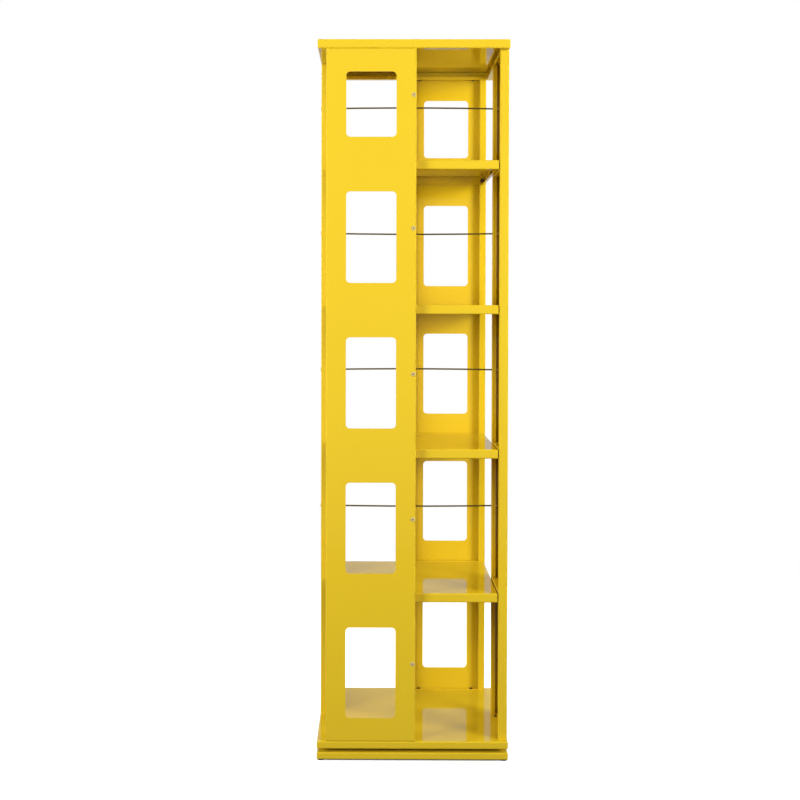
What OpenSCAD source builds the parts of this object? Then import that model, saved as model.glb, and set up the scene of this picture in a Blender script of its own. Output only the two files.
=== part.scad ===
// Rotating bookshelf in folded sheet steel. Four equal panels stand like the vanes
// of a pinwheel round the turning axis, so each side has one panel and one open bay.
// Shelves, cap and bottom tray are shallow upside-down pans, and the whole tower
// turns on a ball ring above a square base. Z is up, the floor is z = 0, the turning
// axis is the Z axis, and the front is towards -Y.

/* [Footprint] */
// Width and depth of the cap, the bottom tray and the base
plan_w = 460; // [420:1:560]
// How far the panel faces stand inside the edge of the cap
panel_inset = 0.6; // [0.2:0.1:2]
// How far the panel ends stand out past the edges of the shelves
shelf_setback = 3; // [0:0.1:4]
// Gap between the rims of the shelves and the panels, kept by a washer on each bolt
shelf_gap = 1.9; // [0.8:0.1:3]
// How far each panel runs past the turning axis
axis_overlap = 6.4; // [5:0.1:10]

/* [Heights] */
// Height of the floor glides below the rim of the base
glide_h = 2; // [1:0.5:6]
// Height of the base rim
base_h = 17; // [14:0.5:40]
// Height of the turntable between the base and the bottom tray
turntable_h = 8.6; // [8:0.1:14]
// Height of the rim of the bottom tray
tray_h = 18; // [14:0.5:40]
// Height of the rim of a shelf
shelf_h = 22; // [18:0.5:40]
// Height of the rim of the cap
cap_h = 21.5; // [18:0.5:40]
// From the underside of one level to the underside of the next
tier_pitch = 348.8; // [320:0.1:400]
// From the underside of the top shelf to the underside of the cap
top_pitch = 285.7; // [270:0.1:400]

/* [Sheet metal] */
// Thickness of the sheet
sheet = 1.2; // [0.8:0.1:1.6]
// Outer radius of every bend
bend_r = 3; // [2:0.1:3.5]
// Outer radius of the welded corners of the cap, shelves, tray and base
corner_r = 2; // [1.8:0.1:3]
// Depth of the folded columns at both ends of a panel
panel_depth = 21.4; // [20:0.1:30]
// Width of the lip of a folded column, which faces the shelves
column_lip = 17.6; // [16.6:0.1:22]
// Depth of the last fold of a column, which turns back towards the face
column_return = 10; // [6:0.5:14]
// Depth of the flange at the foot and at the head of a panel
end_flange = 18; // [15:0.5:22]
// Width of the lip folded in under the rim of a shelf
shelf_lip = 8; // [4:0.5:14]
// Width of the lip folded in under the rims of the cap and of the bottom tray
cap_lip = 18.5; // [16:0.5:22]
// Height of the hem that stands up from the inner edge of that lip
lip_hem = 8; // [4:0.5:10]
// Width of the lip folded in under the rim of the base
base_lip = 20; // [18:0.5:26]

/* [Windows] */
// Width of the windows in the panels
window_w = 120; // [60:1:140]
// Corner radius of the windows
window_r = 10; // [4:0.5:25]
// From the underside of a level up to the sill of its window
window_sill = 74.6; // [40:0.1:110]
// From the head of a window up to the underside of the next level
window_head = 55.8; // [20:0.1:90]

/* [Divider rods] */
// Diameter of the rods that part the four bays of a tier
rod_d = 4; // [3:0.1:4.6]
// From the underside of a level up to its rods
rod_rise = 205.3; // [120:0.1:300]
// From the underside of the top shelf up to the rods of the top tier
top_rod_rise = 174.8; // [120:0.1:240]
// Diameter of the head of a rod nut
rod_nut_d = 11; // [9:0.1:12]
// Diameter of the sleeve of a rod nut
rod_sleeve_d = 7; // [6.4:0.1:7.2]

/* [Fasteners] */
// Diameter of the shelf bolts
bolt_d = 5; // [4:0.1:6]
// Diameter of the heads of the shelf bolts
bolt_head_d = 11.4; // [9:0.1:12]
// Size across the flats of the nuts welded inside the columns
weld_nut_w = 8; // [7:0.1:8]
// Diameter of the screws through the foot and head flanges of the panels
screw_d = 4; // [3:0.1:4.8]
// Diameter of the heads of those screws
screw_head_d = 9; // [7:0.1:9.5]
// From the middle of a panel to each of those screws
screw_spread = 72; // [30:0.5:80]

/* [Turntable] */
// Radius of the circle that the balls run on
race_r = 128.5; // [110:0.5:150]
// Diameter of the balls
ball_d = 5; // [4:0.1:5.6]
// Number of balls
ball_count = 36; // [12:1:48]
// Width of each bearing ring
ring_w = 22; // [16:0.5:30]
// Number of screws through each bearing ring
ring_screws = 6; // [4:2:8]

/* [Hidden] */

paint = [0.96, 0.79, 0.2];
paint_low = [0.8, 0.67, 0.15];
bright_steel = [0.78, 0.77, 0.74];
dark_steel = [0.2, 0.18, 0.16];

shelf_count = 4;
sides = [0, 90, 180, 270];

// Clearance between pieces that are bolted or welded together
seat_gap = 0.3;
// Height of the weld projections that the nuts stand on
weld_gap = 0.5;
// Clearance of a shank across its hole
hole_gap = 0.4;
// Clearance of a ball in its race, and of a bolt head beside a bend
race_gap = 0.1;
// Clearance between the turning pieces and the fixed ones
turn_gap = 0.6;
// What a cut runs past the surface that it opens
past = 1;

half_w = plan_w / 2;
face_y = half_w - panel_inset;
lip_y = face_y - panel_depth;
shelf_half = lip_y - shelf_gap;
shelf_w = 2 * shelf_half;
outer_end = shelf_half + shelf_setback;
panel_w = outer_end + axis_overlap;
panel_mid = (axis_overlap - outer_end) / 2;

base_z = glide_h;
base_top = base_z + base_h;
tray_z = base_top + turntable_h;
panel_z = tray_z + tray_h;
cap_z = tray_z + shelf_count * tier_pitch + top_pitch;
panel_h = cap_z - panel_z;
// Underside of each level, from the bottom tray to the cap
level_z = [for (k = [0:shelf_count]) tray_z + k * tier_pitch, cap_z];
rod_z = [for (k = [0:shelf_count])
         level_z[k] + (k == shelf_count ? top_rod_rise : rod_rise)];

// Shelf bolts sit just inside the corner of the shelf rim, and at the same distance
// from the other end of the panel
bolt_outer_x = -(shelf_half - corner_r - bolt_head_d / 2 - race_gap);
bolt_mid_x = 2 * panel_mid - bolt_outer_x;
bolt_head_h = 3.4;
bolt_l = 10;
weld_nut_h = 4;
bolt_z = shelf_h / 2;
washer_d = 10;

// Flat left between a screw head and the edge of its flange
screw_margin = 1.5;
screw_y = face_y - end_flange + screw_head_d / 2 + screw_margin;
screw_head_h = 2.6;
screw_l = 9;

// How far a rod ends behind the panel face, and how deep its nut is closed there
rod_end_depth = 6;
rod_nut_cap = 4;
rod_end_y = face_y - rod_end_depth;
rod_nut_head_h = 1.2;
rod_nut_socket = 0.8;
// A sleeve ends this far short of the lip behind it
sleeve_gap = 2;
rod_sleeve_l = panel_depth - sheet - sleeve_gap;
rod_bore_d = rod_d + 2 * hole_gap;
rod_lip_hole_d = rod_d + 2.5 * hole_gap;
// Each rod bows past the one it crosses by half a diameter and half this gap
cross_gap = 0.4;
rod_bow = rod_d / 2 + cross_gap / 2;

rail_l = panel_w - 2 * column_lip - 2 * seat_gap;
rail_depth = panel_depth - sheet - seat_gap;

ring_h = turntable_h - turn_gap;
race_z = base_top + turntable_h / 2;
ring_split = 3.2;
ring_screw_d = 4;
ring_screw_head_d = 8;
outer_ring_in = race_r + ring_split / 2;
inner_ring_out = race_r - ring_split / 2;
// Where the screws of a ring stand across its width, counted from the balls
ring_screw_share = 0.6;
outer_screw_r = outer_ring_in + ring_w * ring_screw_share;
inner_screw_r = inner_ring_out - ring_w * ring_screw_share;
// Angle from each screw of a ring to the next over one channel
ring_screw_step = 35;
// How far a ring screw reaches past its ring
ring_screw_reach = 6;
cage_t = 1.2;
channel_t = 2;
channel_r = 3.5;
// Room between the end of a channel and the lip of its tray
channel_end_gap = 5;
channel_l = plan_w - 2 * base_lip - 2 * channel_end_gap;
channel_web = 74;
channel_foot = 14;
// Distance of the channels from the axis, as a share of the radius of the ring screws
channel_share = 0.85;
// Steel left round each glide, and how far its stem stands above the lip
glide_rim = 2;
glide_d = base_lip - 2 * glide_rim;
glide_stem_d = 5;
glide_stem_top = 2;

// One quarter of a bent sheet, in the quadrant between the +x and +y axes
module quarter_bend(r, t) {
    difference() {
        intersection() {
            circle(r = r, $fn = 48);
            square(r);
        }
        circle(r = r - t, $fn = 48);
    }
}

// Rectangle with round corners, centred
module rounded_rect(w, h, r) {
    square([w - 2 * r, h], center = true);
    square([w, h - 2 * r], center = true);
    for (x = [-1, 1], y = [-1, 1])
        translate([x * (w / 2 - r), y * (h / 2 - r)]) circle(r = r, $fn = 48);
}

// Square block with its edges rounded by r and its upright corners by corner
module rounded_block(w, h, r, corner) {
    intersection() {
        linear_extrude(h) rounded_rect(w, w, corner);
        translate([0, w / 2, h / 2]) rotate([90, 0, 0])
            linear_extrude(w) rounded_rect(w, h, r);
        translate([-w / 2, 0, h / 2]) rotate([90, 0, 90])
            linear_extrude(w) rounded_rect(w, h, r);
    }
}

// Upside-down pan of folded sheet: a top, four rims and a lip folded in below them
module pan(w, h, lip) {
    opening = w - 2 * lip;
    difference() {
        rounded_block(w, h, bend_r, corner_r);
        translate([0, 0, sheet]) rounded_block(
            w - 2 * sheet, h - 2 * sheet, bend_r - sheet, corner_r - sheet);
        translate([-opening / 2, -opening / 2, -past])
            cube([opening, opening, sheet + 2 * past]);
    }
}

// Hem standing up round the opening of a pan
module hem(w, lip) {
    outer = w - 2 * lip;
    difference() {
        translate([-outer / 2 - sheet, -outer / 2 - sheet, 0])
            cube([outer + 2 * sheet, outer + 2 * sheet, lip_hem]);
        translate([-outer / 2, -outer / 2, -past])
            cube([outer, outer, lip_hem + 2 * past]);
    }
}

// Hat-shaped channel along X, web at the bottom and feet at the top
module hat_channel(l, h) {
    half = channel_web / 2;
    translate([-l / 2, 0, 0]) rotate([90, 0, 90]) linear_extrude(l) {
        translate([channel_r - half, 0]) square([channel_web - 2 * channel_r, channel_t]);
        for (side = [0, 1]) mirror([side, 0]) {
            translate([half - channel_r, channel_r])
                rotate(-90) quarter_bend(channel_r, channel_t);
            translate([half - channel_t, channel_r])
                square([channel_t, h - 2 * channel_r]);
            translate([half - channel_t + channel_r, h - channel_r])
                rotate(90) quarter_bend(channel_r, channel_t);
            translate([half - channel_t + channel_r, h - channel_t])
                square([channel_foot, channel_t]);
        }
    }
}

// Pan-head screw: head up from z = 0, shank down
module pan_screw(head_d, head_h, d, l, socket) {
    difference() {
        union() {
            rotate_extrude($fn = 40) polygon([
                [0, 0], [head_d / 2, 0], [head_d / 2, head_h * 0.45],
                [head_d * 0.36, head_h], [0, head_h]]);
            translate([0, 0, -l]) cylinder(d = d, h = l + head_h / 2, $fn = 32);
        }
        translate([0, 0, head_h * 0.4]) cylinder(d = socket, h = head_h, $fn = 6);
    }
}

// Countersunk screw: flat head level with z = 0, shank down
module flat_screw(head_d, d, l, socket) {
    head_h = (head_d - d) / 2;
    difference() {
        union() {
            translate([0, 0, -head_h]) cylinder(d1 = d, d2 = head_d, h = head_h, $fn = 32);
            translate([0, 0, -l]) cylinder(d = d, h = l - head_h / 2, $fn = 32);
        }
        translate([0, 0, -head_h * 0.7]) cylinder(d = socket, h = head_h, $fn = 6);
    }
}

// Section of one folded column. The panel's end is at x = 0 and its face at y = 0.
module column_section() {
    translate([bend_r, bend_r]) rotate(180) quarter_bend(bend_r, sheet);
    translate([0, bend_r]) square([sheet, panel_depth - 2 * bend_r]);
    translate([bend_r, panel_depth - bend_r]) rotate(90) quarter_bend(bend_r, sheet);
    translate([bend_r, panel_depth - sheet]) square([column_lip - 2 * bend_r, sheet]);
    translate([column_lip - bend_r, panel_depth - bend_r]) quarter_bend(bend_r, sheet);
    translate([column_lip - sheet, panel_depth - column_return])
        square([sheet, column_return - bend_r]);
}

// Section of the flange at the end of a panel, with the end at y = 0
module flange_section() {
    translate([bend_r, bend_r]) rotate(180) quarter_bend(bend_r, sheet);
    translate([bend_r, 0]) square([end_flange - bend_r, sheet]);
}

// Everything below that belongs to one side is drawn at the front and turned round
// the axis by the modules at the end

module panel_windows() {
    for (k = [0:shelf_count]) {
        sill = level_z[k] + window_sill;
        head = level_z[k + 1] - window_head;
        translate([panel_mid, -face_y + sheet + past, (sill + head) / 2])
            rotate([90, 0, 0]) linear_extrude(sheet + 2 * past)
                rounded_rect(window_w, head - sill, window_r);
    }
}

module side_panel(angle, rods) {
    color(paint) rotate(angle) difference() {
        union() {
            translate([0, 0, panel_z]) linear_extrude(panel_h) {
                translate([-outer_end, -face_y]) column_section();
                translate([axis_overlap, -face_y]) mirror([1, 0]) column_section();
            }
            translate([-outer_end + bend_r, -face_y, panel_z + bend_r])
                cube([panel_w - 2 * bend_r, sheet, panel_h - 2 * bend_r]);
            for (end = [0, 1])
                translate([-outer_end + bend_r, -face_y, end == 0 ? panel_z : cap_z])
                    mirror([0, 0, end]) rotate([90, 0, 90])
                        linear_extrude(panel_w - 2 * bend_r) flange_section();
        }
        panel_windows();
        // Holes for the shelf bolts in the lips
        for (x = [bolt_outer_x, bolt_mid_x], k = [1:shelf_count])
            translate([x, -lip_y + past, level_z[k] + bolt_z]) rotate([90, 0, 0])
                cylinder(d = bolt_d + hole_gap, h = sheet + 2 * past, $fn = 32);
        // Holes for the divider rods in the lip and for their nuts in the face
        for (z = rods) {
            translate([0, -lip_y + past, z]) rotate([90, 0, 0])
                cylinder(d = rod_lip_hole_d, h = sheet + 2 * past, $fn = 32);
            translate([0, -face_y + sheet + past, z]) rotate([90, 0, 0])
                cylinder(d = rod_sleeve_d + hole_gap, h = sheet + 2 * past, $fn = 32);
        }
        // Screw holes in the foot and head flanges
        for (x = [-1, 1], z = [panel_z, cap_z])
            translate([panel_mid + x * screw_spread, -screw_y, z - sheet - past])
                cylinder(d = screw_d + hole_gap, h = 2 * (sheet + past), $fn = 32);
    }
}

// Channels across a panel, level with each shelf and closing the gap to the face
module side_rails(angle) {
    color(paint) rotate(angle) for (k = [1:shelf_count])
        translate([panel_mid - rail_l / 2, -lip_y, level_z[k]]) rotate([90, 0, 90])
            linear_extrude(rail_l) mirror([1, 0]) rail_section();
}

// Section of a rail: the web at x = 0 and the flanges out to the panel face
module rail_section() {
    translate([0, bend_r]) square([sheet, shelf_h - 2 * bend_r]);
    for (side = [0, 1]) translate([0, side * shelf_h]) mirror([0, side]) {
        translate([bend_r, bend_r]) rotate(180) quarter_bend(bend_r, sheet);
        translate([bend_r, 0]) square([rail_depth - bend_r, sheet]);
    }
}

module shelf(k) {
    color(paint) translate([0, 0, level_z[k]]) difference() {
        pan(shelf_w, shelf_h, shelf_lip);
        for (angle = sides, x = [bolt_outer_x, bolt_mid_x])
            rotate(angle) translate([x, -shelf_half + sheet + past, bolt_z])
                rotate([90, 0, 0])
                    cylinder(d = bolt_d + hole_gap, h = sheet + 2 * past, $fn = 32);
    }
}

// Places its children at every shelf bolt, z pointing into the shelf
module at_shelf_bolts() {
    for (angle = sides, x = [bolt_outer_x, bolt_mid_x], k = [1:shelf_count])
        rotate(angle) translate([x, -shelf_half + sheet, level_z[k] + bolt_z])
            rotate([-90, 0, 0]) children();
}

module shelf_bolts() {
    color(dark_steel) at_shelf_bolts()
        pan_screw(bolt_head_d, bolt_head_h, bolt_d, bolt_l, bolt_d * 0.8);
}

// Plastic washers on the bolts, between the rim of a shelf and the lip of a panel
module shelf_washers() {
    color("dimgray") at_shelf_bolts() translate([0, 0, -sheet - shelf_gap + race_gap])
        difference() {
            cylinder(d = washer_d, h = shelf_gap - 2 * race_gap, $fn = 40);
            translate([0, 0, -past])
                cylinder(d = bolt_d + hole_gap, h = shelf_gap + 2 * past, $fn = 32);
        }
}

// Hexagon nuts behind the lips, a flat side towards the last fold of the column
module weld_nuts() {
    depth = 2 * sheet + shelf_gap + weld_gap;
    color(bright_steel) at_shelf_bolts() translate([0, 0, -depth - weld_nut_h])
        difference() {
            rotate(30) cylinder(d = weld_nut_w / cos(30), h = weld_nut_h, $fn = 6);
            translate([0, 0, -past])
                cylinder(d = bolt_d + hole_gap / 2, h = weld_nut_h + 2 * past, $fn = 32);
        }
}

// Rod along X through z = 0 at its ends, bowed up in the middle
module bowed_rod() {
    radius = (rod_end_y * rod_end_y + rod_bow * rod_bow) / (2 * rod_bow);
    half_angle = asin(rod_end_y / radius);
    translate([0, 0, rod_bow - radius]) rotate([90, 0, 0]) rotate(90 - half_angle)
        rotate_extrude(angle = 2 * half_angle, $fn = 3600)
            translate([radius, 0]) circle(d = rod_d, $fn = 24);
}

// The two rods of a tier take turns to pass over each other
function passes_over(k) = k % 2 == 0;

// The bottom tier has a rod from front to rear only
x_rod_levels = [1:shelf_count];
y_rod_levels = [0:shelf_count];

module divider_rods_x() {
    color(dark_steel) for (k = x_rod_levels)
        translate([0, 0, rod_z[k]]) mirror([0, 0, passes_over(k) ? 0 : 1]) bowed_rod();
}

module divider_rods_y() {
    color(dark_steel) for (k = y_rod_levels)
        translate([0, 0, rod_z[k]]) rotate(90)
            mirror([0, 0, passes_over(k) ? 1 : 0]) bowed_rod();
}

// Sleeve nut for the end of a rod: head on the panel face, sleeve inside the column
module rod_nut() {
    difference() {
        union() {
            rotate_extrude($fn = 40) polygon([
                [0, 0], [rod_nut_d / 2, 0], [rod_nut_d / 2, rod_nut_head_h * 0.4],
                [rod_nut_d * 0.3, rod_nut_head_h], [0, rod_nut_head_h]]);
            translate([0, 0, -rod_sleeve_l])
                cylinder(d = rod_sleeve_d, h = rod_sleeve_l + rod_nut_head_h / 2, $fn = 32);
        }
        translate([0, 0, -rod_sleeve_l - past])
            cylinder(d = rod_bore_d, h = rod_sleeve_l + past - rod_nut_cap, $fn = 32);
        translate([0, 0, rod_nut_head_h - rod_nut_socket])
            cylinder(d = rod_d * 0.85, h = rod_nut_socket + past, $fn = 6);
    }
}

module rod_nuts() {
    color(bright_steel) {
        for (angle = [0, 180], k = y_rod_levels)
            rotate(angle) translate([0, -face_y, rod_z[k]]) rotate([90, 0, 0]) rod_nut();
        for (angle = [90, 270], k = x_rod_levels)
            rotate(angle) translate([0, -face_y, rod_z[k]]) rotate([90, 0, 0]) rod_nut();
    }
}

// Places its children over every screw in the end flanges of the panels
module at_flange_screws() {
    for (angle = sides, x = [-1, 1])
        rotate(angle) translate([panel_mid + x * screw_spread, -screw_y, 0]) children();
}

module foot_screws() {
    color(dark_steel) at_flange_screws() translate([0, 0, panel_z + sheet])
        pan_screw(screw_head_d, screw_head_h, screw_d, screw_l, screw_d * 0.7);
}

module head_screws() {
    color(dark_steel) at_flange_screws() translate([0, 0, cap_z - sheet])
        mirror([0, 0, 1])
            pan_screw(screw_head_d, screw_head_h, screw_d, screw_l, screw_d * 0.7);
}

module flange_screw_holes(z) {
    at_flange_screws() translate([0, 0, z - past])
        cylinder(d = screw_d + hole_gap, h = sheet + 2 * past, $fn = 32);
}

module bottom_tray() {
    color(paint_low) difference() {
        translate([0, 0, tray_z]) {
            pan(plan_w, tray_h, cap_lip);
            hem(plan_w, cap_lip);
        }
        flange_screw_holes(panel_z - sheet);
    }
}

module top_cap() {
    color(paint) difference() {
        translate([0, 0, cap_z]) {
            pan(plan_w, cap_h, cap_lip);
            hem(plan_w, cap_lip);
        }
        flange_screw_holes(cap_z);
    }
}

// Angles of the screws of a bearing ring, half of them over each channel
ring_screw_angles = [for (side = [0, 180], i = [0:ring_screws / 2 - 1])
                     side + 90 + (i - (ring_screws / 2 - 1) / 2) * ring_screw_step];

module at_ring_screws(r, z) {
    for (angle = ring_screw_angles)
        rotate(angle) translate([r, 0, z]) children();
}

module race() {
    translate([0, 0, race_z]) rotate_extrude($fn = 128)
        translate([race_r, 0]) circle(r = ball_d / 2 + race_gap, $fn = 32);
}

module ring(r_in, r_out, z) {
    translate([0, 0, z]) rotate_extrude($fn = 128)
        translate([r_in, 0]) square([r_out - r_in, ring_h]);
}

module ring_screw() {
    flat_screw(ring_screw_head_d, ring_screw_d, ring_h + ring_screw_reach,
               ring_screw_d * 0.7);
}

module ring_screw_hole() {
    head_h = (ring_screw_head_d - ring_screw_d) / 2;
    translate([0, 0, -head_h - hole_gap / 2])
        cylinder(d1 = ring_screw_d, d2 = ring_screw_head_d, h = head_h, $fn = 32);
    translate([0, 0, -hole_gap / 2 - 0.01])
        cylinder(d = ring_screw_head_d, h = past, $fn = 32);
    translate([0, 0, -ring_h - past])
        cylinder(d = ring_screw_d + hole_gap, h = ring_h + past, $fn = 32);
}

module turntable_outer_ring() {
    color(bright_steel) difference() {
        ring(outer_ring_in, outer_ring_in + ring_w, base_top);
        race();
        at_ring_screws(outer_screw_r, base_top + ring_h) ring_screw_hole();
    }
}

module outer_ring_screws() {
    color(bright_steel)
        at_ring_screws(outer_screw_r, base_top + ring_h - hole_gap / 2) ring_screw();
}

module turntable_inner_ring() {
    color(bright_steel) difference() {
        ring(inner_ring_out - ring_w, inner_ring_out, tray_z - ring_h);
        race();
        at_ring_screws(inner_screw_r, tray_z - ring_h) mirror([0, 0, 1]) ring_screw_hole();
    }
}

module inner_ring_screws() {
    color(bright_steel) at_ring_screws(inner_screw_r, tray_z - ring_h + hole_gap / 2)
        mirror([0, 0, 1]) ring_screw();
}

module at_balls() {
    for (i = [0:ball_count - 1])
        rotate(i * 360 / ball_count) translate([race_r, 0, race_z]) children();
}

module bearing_balls() {
    color(bright_steel) at_balls() sphere(d = ball_d, $fn = 32);
}

module ball_cage() {
    cage_h = ring_h - turn_gap;
    color("dimgray") difference() {
        translate([0, 0, race_z - cage_h / 2]) rotate_extrude($fn = 128)
            translate([race_r - cage_t / 2, 0]) square([cage_t, cage_h]);
        at_balls() rotate([0, 90, 0])
            cylinder(d = ball_d + hole_gap, h = 4 * cage_t, center = true, $fn = 32);
    }
}

// Channels under the top of the bottom tray, which the inner ring hangs from
module tray_channels() {
    color(paint_low) difference() {
        for (side = [-1, 1]) translate([0, side * inner_screw_r * channel_share, tray_z])
            hat_channel(channel_l, tray_h - sheet);
        at_ring_screws(inner_screw_r, tray_z - past)
            cylinder(d = ring_screw_d + hole_gap, h = channel_t + 2 * past, $fn = 32);
    }
}

// Channels under the top of the base, which the outer ring stands on
module base_channels() {
    color(paint_low) for (side = [-1, 1])
        translate([0, side * outer_screw_r * channel_share, base_z + 2 * sheet])
            hat_channel(channel_l, base_h - 3 * sheet);
}

module base_tray() {
    color(paint_low) difference() {
        translate([0, 0, base_z]) pan(plan_w, base_h, base_lip);
        at_ring_screws(outer_screw_r, base_top - sheet - past)
            cylinder(d = ring_screw_d + hole_gap, h = sheet + 2 * past, $fn = 32);
        for (angle = sides) rotate(angle)
            translate([half_w - base_lip / 2, half_w - base_lip / 2, base_z - past])
                cylinder(d = glide_stem_d + hole_gap, h = sheet + 2 * past, $fn = 32);
    }
}

module floor_glides() {
    color(dark_steel) for (angle = sides) rotate(angle)
        translate([half_w - base_lip / 2, half_w - base_lip / 2, 0]) {
            cylinder(d = glide_d, h = glide_h, $fn = 48);
            cylinder(d = glide_stem_d, h = glide_h + sheet + glide_stem_top, $fn = 32);
        }
}

front_rods = [for (k = y_rod_levels) rod_z[k]];
side_rods = [for (k = x_rod_levels) rod_z[k]];

base_tray();
base_channels();
floor_glides();
turntable_outer_ring();
outer_ring_screws();
ball_cage();
bearing_balls();
turntable_inner_ring();
inner_ring_screws();
tray_channels();
bottom_tray();
side_panel(0, front_rods);  // front_panel
side_panel(90, side_rods);  // right_panel
side_panel(180, front_rods);  // rear_panel
side_panel(270, side_rods);  // left_panel
side_rails(0);  // front_rails
side_rails(90);  // right_rails
side_rails(180);  // rear_rails
side_rails(270);  // left_rails
shelf(1);  // shelf_1
shelf(2);  // shelf_2
shelf(3);  // shelf_3
shelf(4);  // shelf_4
shelf_bolts();
shelf_washers();
weld_nuts();
divider_rods_x();
divider_rods_y();
rod_nuts();
foot_screws();
head_screws();
top_cap();
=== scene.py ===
import math

import bpy
from mathutils import Matrix, Vector

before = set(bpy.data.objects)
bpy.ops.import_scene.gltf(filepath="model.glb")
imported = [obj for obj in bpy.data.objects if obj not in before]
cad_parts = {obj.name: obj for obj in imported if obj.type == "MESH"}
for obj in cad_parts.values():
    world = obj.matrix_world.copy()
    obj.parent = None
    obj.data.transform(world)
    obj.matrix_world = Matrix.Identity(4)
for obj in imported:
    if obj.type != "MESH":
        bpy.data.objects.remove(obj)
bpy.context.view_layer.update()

MICRON = 0.000001

# Camera found by fitting the object's own edges to the picture; angles in degrees
IMAGE_PX = 800
FOCAL_PX = 1339.0
CENTRE_PX = (366.0, 330.8)
SENSOR_MM = 36.0
CLIP = (0.05, 60.0)
CAMERA_PLACE = Vector((-0.0947, -3.4331, 1.0901))
CAMERA_YAW, CAMERA_PITCH, CAMERA_ROLL = -0.333, 1.005, 0.108


def place_camera():
    data = bpy.data.cameras.new("photo_camera")
    data.sensor_width = SENSOR_MM
    data.lens = FOCAL_PX * SENSOR_MM / IMAGE_PX
    data.shift_x = (IMAGE_PX / 2 - CENTRE_PX[0]) / IMAGE_PX
    data.shift_y = (CENTRE_PX[1] - IMAGE_PX / 2) / IMAGE_PX
    data.clip_start, data.clip_end = CLIP
    # Rows are the directions right, down and forward of the picture
    level = Matrix(((1, 0, 0), (0, 0, -1), (0, 1, 0)))
    aim = (Matrix.Rotation(math.radians(CAMERA_ROLL), 3, "Z")
           @ Matrix.Rotation(math.radians(CAMERA_PITCH), 3, "X")
           @ level
           @ Matrix.Rotation(math.radians(CAMERA_YAW), 3, "Z"))
    right, down, forward = aim
    turn = Matrix((right, -down, -forward)).transposed()
    camera = bpy.data.objects.new("photo_camera", data)
    bpy.context.scene.collection.objects.link(camera)
    camera.matrix_world = Matrix.Translation(CAMERA_PLACE) @ turn.to_4x4()
    bpy.context.scene.camera = camera


class Value:
    """One output of a shader node; Python's operators on it add Math nodes."""

    def __init__(self, finish, socket):
        self.finish, self.socket = finish, socket

    def maths(self, operation, *others, clamp=False):
        return self.finish.add("ShaderNodeMath", (self, *others),
                               operation=operation, use_clamp=clamp)

    def __add__(self, other):
        return self.maths("ADD", other)

    def __sub__(self, other):
        return self.maths("SUBTRACT", other)

    def __mul__(self, other):
        return self.maths("MULTIPLY", other)

    def __pow__(self, other):
        return self.maths("POWER", other)

    __radd__ = __add__
    __rmul__ = __mul__

    def held(self):
        """The same value kept between 0 and 1."""
        return self.maths("ADD", 0.0, clamp=True)

    def above(self, start, gain):
        """What lies above the start, times the gain, kept between 0 and 1."""
        return ((self - start) * gain).held()


class Finish:
    """A material in the making: its nodes, and the shader that they feed."""

    def __init__(self, name, **shader):
        self.material = bpy.data.materials.new(name)
        self.material.use_nodes = True
        self.nodes = self.material.node_tree.nodes
        self.links = self.material.node_tree.links
        self.shader = next(n for n in self.nodes if n.type == "BSDF_PRINCIPLED")
        self.set(**shader)
        self.place = self.add("ShaderNodeTexCoord", output="Object")

    def set(self, **values):
        """Feeds the shader's sockets, named in small letters with underscores."""
        for name, value in values.items():
            socket = name.replace("_", " ").title().replace("Ior", "IOR")
            self.feed(self.shader.inputs[socket], value)

    def feed(self, socket, value):
        if isinstance(value, Value):
            self.links.new(value.socket, socket)
        else:
            socket.default_value = value

    def add(self, kind, values=(), output=0, **settings):
        """A node of any kind: its settings first, then its sockets in order or by name."""
        node = self.nodes.new(kind)
        for name, setting in settings.items():
            setattr(node, name, setting)
        pairs = values.items() if isinstance(values, dict) else enumerate(values)
        for key, value in pairs:
            self.feed(node.inputs[key], value)
        return Value(self, node.outputs[output])

    def noise(self, per_metre, detail=2.0, roughness=0.5, stretch=None, seed=0.0):
        """Cloudy noise from 0 to 1 with so many waves to the metre."""
        place = self.place
        if stretch:
            place = self.add("ShaderNodeMapping", {"Vector": place, "Scale": stretch})
        return self.add("ShaderNodeTexNoise",
                        {"Vector": place, "W": seed, "Scale": per_metre,
                         "Detail": detail, "Roughness": roughness},
                        noise_dimensions="4D")

    def mix(self, share, first, second):
        """A colour between two others."""
        return self.add("ShaderNodeMix", {0: share, 6: first, 7: second},
                        output=2, data_type="RGBA")

    def rise(self, value, low, high, **settings):
        """Goes from 0 to 1 while the value goes from low to high."""
        return self.add("ShaderNodeMapRange",
                        {"Value": value, "From Min": low, "From Max": high,
                         "To Min": 0.0, "To Max": 1.0}, **settings)

    def fall(self, value, low, high, **settings):
        """Goes from 1 to 0 while the value goes from low to high."""
        return self.add("ShaderNodeMapRange",
                        {"Value": value, "From Min": low, "From Max": high,
                         "To Min": 1.0, "To Max": 0.0}, **settings)

    def off_middle(self, axes):
        """How far a place lies from the middle along each of the axes, to either side."""
        away = self.add("ShaderNodeVectorMath", {0: self.place}, operation="ABSOLUTE")
        return [self.add("ShaderNodeSeparateXYZ", {0: away}, output=axis) for axis in axes]

    def bump(self, height, strength, depth, under=None):
        """The normal over a height map; depth is in metres."""
        sockets = {"Strength": strength, "Distance": depth, "Height": height}
        if under:
            sockets["Normal"] = under
        return self.add("ShaderNodeBump", sockets)


def colour(red, green, blue):
    """A colour given as it looks on a screen, from 0 to 255, for a shader."""
    def linear(c):
        c /= 255
        return c / 12.92 if c <= 0.04045 else ((c + 0.055) / 1.055) ** 2.4
    return (linear(red), linear(green), linear(blue), 1.0)


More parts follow.
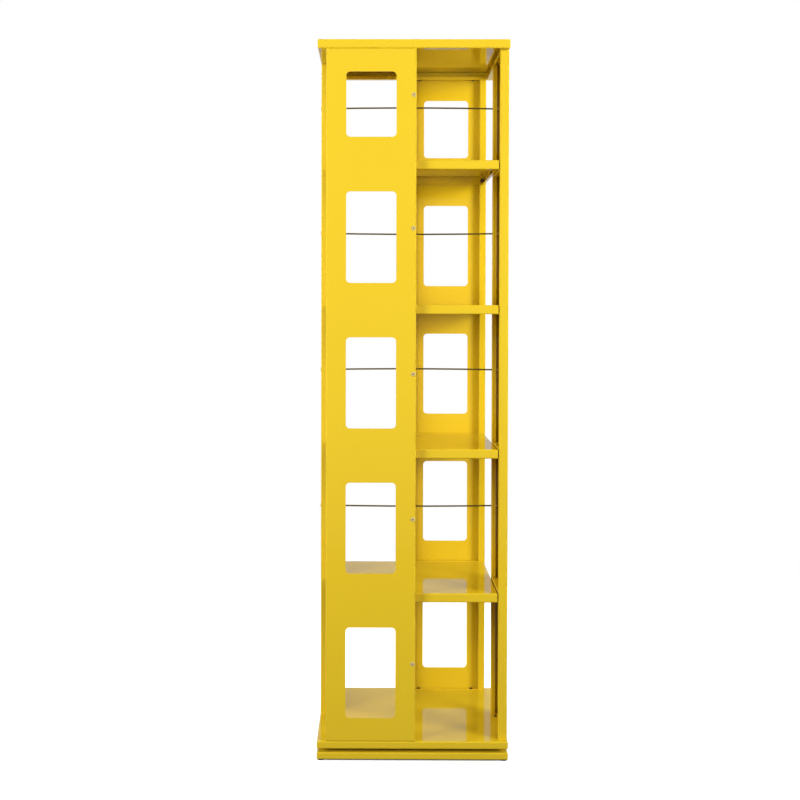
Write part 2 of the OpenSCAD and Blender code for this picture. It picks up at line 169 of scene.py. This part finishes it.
def powder_coat(name, body, thick, thin):
    """Smooth glossy powder coat: soft waves from the oven, a fine skin and faint clouds."""
    finish = Finish(name, ior=1.45)
    clouds = finish.noise(3.1, detail=3.0)
    flecks = finish.noise(210.0, seed=3.0)
    shade = finish.mix(clouds.above(0.35, gain=1.6), thick, body)
    shade = finish.mix(flecks.above(0.6, gain=2.0) * 0.3, shade, thin)
    skin = finish.noise(620.0, detail=3.0, seed=1.0)
    waves = finish.noise(300.0, detail=1.0, seed=2.0)
    peel = finish.bump(waves, strength=0.3, depth=10 * MICRON)
    peel = finish.bump(skin, strength=0.2, depth=4 * MICRON, under=peel)
    finish.set(base_color=shade,
               roughness=0.02 + 0.02 * clouds + 0.015 * skin,
               normal=peel)
    return finish.material


def plating(finish, tint, dull):
    """Faint clouds of a plated surface, its colour, and the normal over its fine grain."""
    clouds = finish.noise(38.0, detail=3.0)
    grain = finish.noise(900.0, seed=1.0)
    shade = finish.mix((clouds * 0.8 + grain * 0.3 - 0.1).held(), tint, dull)
    return clouds, shade, finish.bump(grain, strength=0.15, depth=20 * MICRON)


def plated_steel(name, tint, dull):
    """Bright plated steel with faint clouds and a fine grain."""
    finish = Finish(name, metallic=1.0)
    clouds, shade, normal = plating(finish, tint, dull)
    finish.set(base_color=shade, roughness=0.22 + 0.14 * clouds, normal=normal)
    return finish.material


# Heights of the divider rods: four tiers at one pitch, then the top tier
LOW_ROD, TIER_PITCH, TOP_ROD = 0.2329, 0.3488, 1.5976
# Radii between which the painted shade of a nut's socket gives way to its rim
SOCKET_SHADE_EDGE = (0.0015, 0.0019)


def from_rod_axis(finish):
    """Distance from the axis of the nearest rod, which runs through the middle of its nuts."""
    x, y, height = finish.off_middle("XYZ")
    aside = x.maths("MINIMUM", y)
    tier = height.maths("WRAP", LOW_ROD + TIER_PITCH / 2, LOW_ROD - TIER_PITCH / 2) - LOW_ROD
    top = height - TOP_ROD
    upright = tier.maths("ABSOLUTE").maths("MINIMUM", top.maths("ABSOLUTE"))
    return (aside * aside + upright * upright) ** 0.5


def nickel_nuts(name, tint, dull, painted_socket_shade):
    """Pale nickel-plated nuts with painted shade darkening their sockets."""
    finish = Finish(name, metallic=0.45)
    clouds, shade, normal = plating(finish, tint, dull)
    # Painted shade: the middle of each nut is darkened as if its socket lay in shade
    socket = finish.fall(from_rod_axis(finish), *SOCKET_SHADE_EDGE)
    finish.set(base_color=finish.mix(socket, shade, painted_socket_shade),
               roughness=0.3 + 0.14 * clouds + 0.25 * socket,
               normal=normal)
    return finish.material


def drawn_wire(name, along, tint, dull):
    """Dark drawn wire with fine die marks that run along it."""
    finish = Finish(name, metallic=0.85)
    stretch = tuple(0.02 if axis == along else 1.0 for axis in "XYZ")
    marks = finish.noise(2600.0, stretch=stretch)
    stain = finish.noise(16.0, detail=3.0, seed=2.0)
    finish.set(base_color=finish.mix((stain * 0.7 + marks * 0.5 - 0.1).held(), tint, dull),
               roughness=0.3 + 0.2 * marks,
               normal=finish.bump(marks, strength=0.3, depth=30 * MICRON))
    return finish.material


def black_oxide(name, oxide, steel):
    """Oiled black screws with a little bare steel showing through."""
    finish = Finish(name, metallic=0.8)
    rub = finish.noise(340.0, detail=4.0, roughness=0.65)
    bare = rub.above(0.58, gain=5.0) * 0.5
    finish.set(base_color=finish.mix(bare, oxide, steel),
               roughness=0.34 + 0.2 * rub,
               normal=finish.bump(rub, strength=0.2, depth=30 * MICRON))
    return finish.material


def moulded_plastic(name, tint, pale):
    """Matt moulded plastic with a spark-eroded skin."""
    finish = Finish(name)
    skin = finish.noise(1400.0, detail=3.0)
    clouds = finish.noise(24.0, seed=1.0)
    finish.set(base_color=finish.mix(clouds * 0.6, tint, pale),
               roughness=0.5 + 0.15 * skin,
               normal=finish.bump(skin, strength=0.35, depth=50 * MICRON))
    return finish.material


def dress(nodes, material):
    """Gives CAD nodes their material."""
    for name in nodes:
        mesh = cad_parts[name].data
        mesh.materials.clear()
        mesh.materials.append(material)


SIDES = ("front", "right", "rear", "left")
SHELVES = (1, 2, 3, 4)


def finish_the_tower():
    dress([f"{side}_{what}" for side in SIDES for what in ("panel", "rails")]
          + [f"shelf_{k}" for k in SHELVES]
          + ["top_cap", "bottom_tray", "base_tray", "base_channels", "tray_channels"],
          powder_coat("yellow_powder_coat", body=colour(213, 181, 34),
                      thick=colour(210, 177, 30), thin=colour(218, 187, 40)))
    dress(["turntable_outer_ring", "turntable_inner_ring", "bearing_balls",
           "outer_ring_screws", "inner_ring_screws", "weld_nuts"],
          plated_steel("zinc_plated_steel", tint=colour(196, 197, 196),
                       dull=colour(150, 150, 148)))
    dress(["rod_nuts"],
          nickel_nuts("nickel_plated_nuts", tint=colour(232, 211, 146),
                      dull=colour(214, 192, 128), painted_socket_shade=colour(148, 130, 82)))
    dress(["shelf_bolts", "foot_screws", "head_screws"],
          black_oxide("black_oxide_screws", oxide=colour(108, 94, 64),
                      steel=colour(166, 154, 126)))
    for axis in "XY":
        dress([f"divider_rods_{axis.lower()}"],
              drawn_wire(f"drawn_wire_{axis.lower()}", axis, tint=colour(142, 132, 76),
                         dull=colour(106, 98, 52)))
    dress(["ball_cage", "shelf_washers"],
          moulded_plastic("grey_plastic", tint=colour(118, 118, 116),
                          pale=colour(142, 142, 139)))
    dress(["floor_glides"],
          moulded_plastic("black_glide_plastic", tint=colour(28, 28, 29),
                          pale=colour(46, 46, 47)))


# Brightness of the room's white walls: as light, and in reflections.
# The camera sees them pure white.
ROOM_LIGHT = 0.04
ROOM_GLOSS = 0.22


def build_room(scene):
    """White all round, dim as a light, so that the lights below give the shading."""
    world = bpy.data.worlds.new("white_studio")
    scene.world = world
    world.use_nodes = True
    nodes, links = world.node_tree.nodes, world.node_tree.links
    background = next(n for n in nodes if n.type == "BACKGROUND")
    background.inputs["Color"].default_value = (1.0, 1.0, 1.0, 1.0)
    rays = nodes.new("ShaderNodeLightPath")
    room = None
    for ray, light in (("Is Camera Ray", 1.0), ("Is Glossy Ray", ROOM_GLOSS)):
        share = nodes.new("ShaderNodeMath")
        share.operation = "MULTIPLY_ADD"
        links.new(rays.outputs[ray], share.inputs[0])
        share.inputs[1].default_value = light - ROOM_LIGHT
        share.inputs[2].default_value = ROOM_LIGHT
        if room:
            links.new(room, share.inputs[2])
        room = share.outputs[0]
    links.new(room, background.inputs["Strength"])


FLOOR_RADIUS = 3.0
FLOOR_SIDES = 96
# The floor lies this far under the glides, so that the two don't share a plane
FLOOR_DROP = 0.0005
FLOOR_GLOW = 0.45
# Half-widths of the square round the object's foot between which the glow sets in; inside it
# the floor gets no glow, which paints a shade under the foot
PAINTED_SHADE_EDGE = (0.226, 0.232)
# Distances from the middle between which the floor fades away
FADE = (0.5, 0.95 * FLOOR_RADIUS)


def build_floor():
    """A pale glowing floor that takes the object's shadow and fades into the white; the glow
    is left out under the object's foot, a painted contact shade.
    """
    bpy.ops.mesh.primitive_circle_add(vertices=FLOOR_SIDES, radius=FLOOR_RADIUS,
                                      fill_type="NGON", location=(0.0, 0.0, -FLOOR_DROP))
    floor = bpy.context.object
    floor.name = "studio_floor"
    # It gives no light back to the object
    floor.visible_diffuse = floor.visible_glossy = floor.visible_shadow = False
    finish = Finish("pale_floor", base_color=colour(240, 240, 238), roughness=0.6,
                    specular_ior_level=0.0, emission_strength=FLOOR_GLOW)
    across, deep = finish.off_middle("XY")
    # No glow under the foot: this paints a contact shade on the floor
    glow_with_painted_foot_shade = finish.rise(across.maths("MAXIMUM", deep), *PAINTED_SHADE_EDGE)
    reach = finish.add("ShaderNodeVectorMath", {0: finish.place}, output="Value",
                       operation="LENGTH")
    finish.set(emission_color=finish.mix(glow_with_painted_foot_shade, colour(0, 0, 0), colour(255, 255, 255)),
               alpha=finish.fall(reach, *FADE, interpolation_type="SMOOTHSTEP"))
    floor.data.materials.append(finish.material)


# Area lights: name, place, aim, width and height, spread in degrees, watts
LIGHTS = (
    ("front_left_box", (-3.15, -2.6, 1.5), (0.0, 0.0, 1.5), (1.6, 1.8), 105, 57.0),
    ("front_right_box", (3.1, -2.65, 1.6), (0.0, 0.0, 1.6), (1.6, 1.8), 105, 43.0),
    ("high_right_box", (3.25, -2.5, 2.5), (0.0, 0.0, 1.5), (1.6, 1.4), 95, 23.0),
    ("front_wall", (0.0, -5.2, 1.6), (0.0, 0.0, 1.4), (5.0, 4.0), 180, 9.0),
    ("left_box", (-3.3, -0.4, 1.6), (0.0, 0.0, 1.5), (1.6, 1.6), 100, 24.0),
    ("right_box", (3.3, 0.0, 1.6), (0.0, 0.0, 1.5), (1.6, 1.6), 100, 21.0),
    ("overhead_box", (0.0, 0.1, 3.9), (0.0, 0.1, 0.0), (1.6, 1.6), 100, 19.0),
    ("rear_box", (0.0, 3.8, 1.9), (0.0, 0.0, 1.2), (2.4, 1.6), 100, 40.0),
    ("white_backdrop", (0.0, 5.0, 2.3), (0.0, 0.0, 2.3), (9.0, 4.5), 180, 43.0),
    ("floor_bounce_rear", (0.0, 1.5, 0.01), (0.0, 1.5, 2.0), (2.4, 1.4), 180, 54.0),
)
# The others have no mirror image in the paint
MIRRORED = ("front_wall", "white_backdrop")


def place_lights(scene):
    for name, place, aim, size, spread, watts in LIGHTS:
        light = bpy.data.lights.new(name, "AREA")
        light.shape = "RECTANGLE"
        light.size, light.size_y = size
        light.spread = math.radians(spread)
        light.energy = watts
        box = bpy.data.objects.new(name, light)
        box.visible_camera = False
        box.visible_glossy = name in MIRRORED
        scene.collection.objects.link(box)
        box.location = place
        box.rotation_euler = (Vector(aim) - Vector(place)).to_track_quat("-Z", "Y").to_euler()


def build_studio():
    scene = bpy.context.scene
    scene.view_settings.view_transform = "Standard"
    scene.view_settings.look = "None"
    build_room(scene)
    build_floor()
    place_lights(scene)


place_camera()
finish_the_tower()
build_studio()
